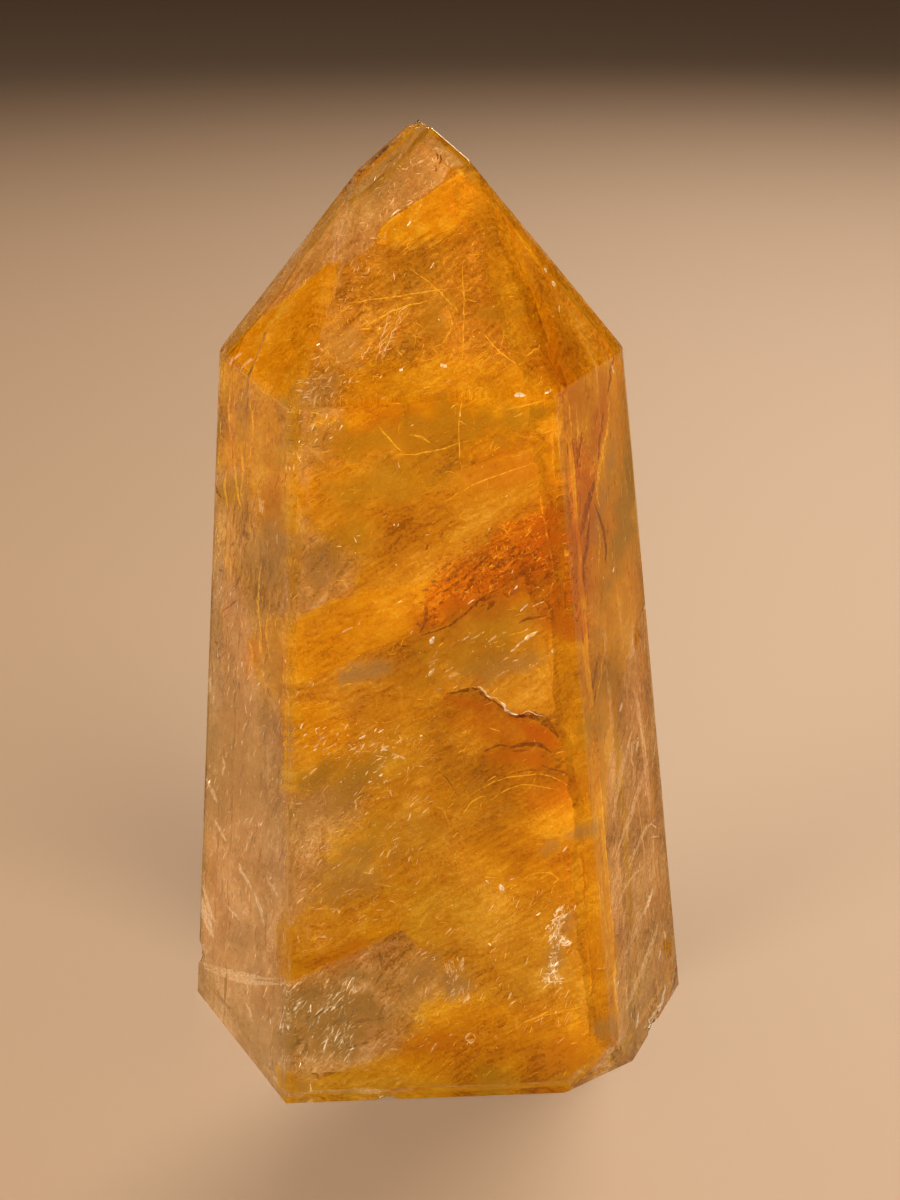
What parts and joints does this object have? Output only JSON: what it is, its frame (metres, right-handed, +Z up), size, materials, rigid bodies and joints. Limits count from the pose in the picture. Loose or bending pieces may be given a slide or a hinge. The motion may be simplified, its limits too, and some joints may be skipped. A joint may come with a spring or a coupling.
{
  "type": "golden healer quartz tower",
  "caption": "Free-standing polished crystal tower: a tapering hexagonal column of clear yellow quartz with a faceted point and a flat base.",
  "frame": {"origin": "middle of the bounding box of the flat base, on the surface that the tower stands on", "axes": "+Z up the column, -Y towards the broad front facet, +X to the right seen from the front"},
  "size_m": [0.0514, 0.0434, 0.0902],
  "materials": {
    "golden_quartz": "clear yellow quartz stained and veiled inside by iron oxide, with a glassy polish"
  },
  "bodies": {
    "root": {"quartz_tower": "golden_quartz"}
  },
  "joints": []
}
